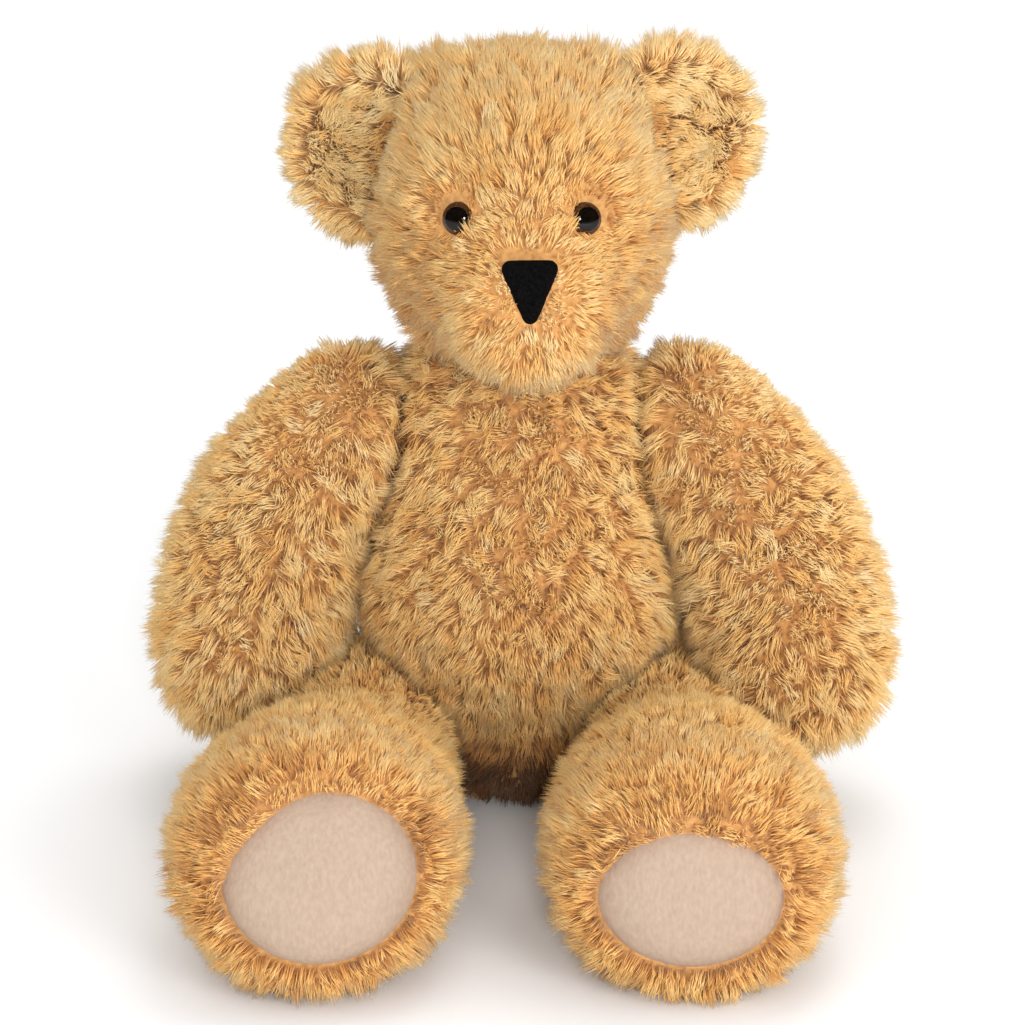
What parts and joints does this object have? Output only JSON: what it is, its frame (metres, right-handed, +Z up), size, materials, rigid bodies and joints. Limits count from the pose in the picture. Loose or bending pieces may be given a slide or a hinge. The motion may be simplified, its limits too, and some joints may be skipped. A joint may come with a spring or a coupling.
{
  "type": "jointed teddy bear",
  "caption": "Sitting stuffed bear in long honey plush, with velour foot pads and a turning head, arms and legs on hidden disc joints.",
  "frame": {"origin": "on the floor, in the middle of the flat seat under the body", "axes": "+Z up through the head; -Y the way the bear faces; +X towards the bear's own left side"},
  "size_m": [0.2654, 0.262, 0.2846],
  "materials": {
    "honey_plush": "matte",
    "polyester_filling": "matte",
    "beige_velour": "matte",
    "joint_plastic": "satin",
    "lock_washer_steel": "satin",
    "washer_plastic": "satin",
    "black_eye_plastic": "gloss",
    "black_nose_flock": "matte"
  },
  "bodies": {
    "torso": {"body_skin": "honey_plush", "body_stuffing": "polyester_filling", "neck_body_disc": "joint_plastic", "shoulder_left_body_disc": "joint_plastic", "shoulder_right_body_disc": "joint_plastic", "hip_left_body_disc": "joint_plastic", "hip_right_body_disc": "joint_plastic"},
    "head": {"head_skin": "honey_plush", "head_stuffing": "polyester_filling", "neck_post_disc": "joint_plastic", "neck_lock_washer": "lock_washer_steel", "nose": "black_nose_flock", "nose_washer": "washer_plastic", "ear_front_left": "honey_plush", "ear_back_left": "honey_plush", "eye_left": "black_eye_plastic", "eye_left_washer": "washer_plastic", "ear_front_right": "honey_plush", "ear_back_right": "honey_plush", "eye_right": "black_eye_plastic", "eye_right_washer": "washer_plastic"},
    "arm_left": {"arm_left_skin": "honey_plush", "arm_left_stuffing": "polyester_filling", "shoulder_left_post_disc": "joint_plastic", "shoulder_left_lock_washer": "lock_washer_steel"},
    "leg_left": {"leg_left_skin": "honey_plush", "leg_left_stuffing": "polyester_filling", "foot_pad_left": "beige_velour", "hip_left_post_disc": "joint_plastic", "hip_left_lock_washer": "lock_washer_steel"},
    "arm_right": {"arm_right_skin": "honey_plush", "arm_right_stuffing": "polyester_filling", "shoulder_right_post_disc": "joint_plastic", "shoulder_right_lock_washer": "lock_washer_steel"},
    "leg_right": {"leg_right_skin": "honey_plush", "leg_right_stuffing": "polyester_filling", "foot_pad_right": "beige_velour", "hip_right_post_disc": "joint_plastic", "hip_right_lock_washer": "lock_washer_steel"}
  },
  "joints": [
    {"name": "neck_turn", "type": "hinge", "parent": "torso", "child": "head", "pos_m": [0, 0.002, 0.176], "axis": [0, 0, 1], "continuous": true},
    {"name": "shoulder_left_swing", "type": "hinge", "parent": "torso", "child": "arm_left", "pos_m": [0.044, 0, 0.141], "axis": [1, 0, 0], "range_deg": [-100, 60]},
    {"name": "hip_left_swing", "type": "hinge", "parent": "torso", "child": "leg_left", "pos_m": [0.03, -0.002, 0.031], "axis": [1, 0, 0], "range_deg": [0, 105]},
    {"name": "shoulder_right_swing", "type": "hinge", "parent": "torso", "child": "arm_right", "pos_m": [-0.044, 0, 0.141], "axis": [1, 0, 0], "range_deg": [-100, 60]},
    {"name": "hip_right_swing", "type": "hinge", "parent": "torso", "child": "leg_right", "pos_m": [-0.03, -0.002, 0.031], "axis": [1, 0, 0], "range_deg": [0, 105]}
  ]
}
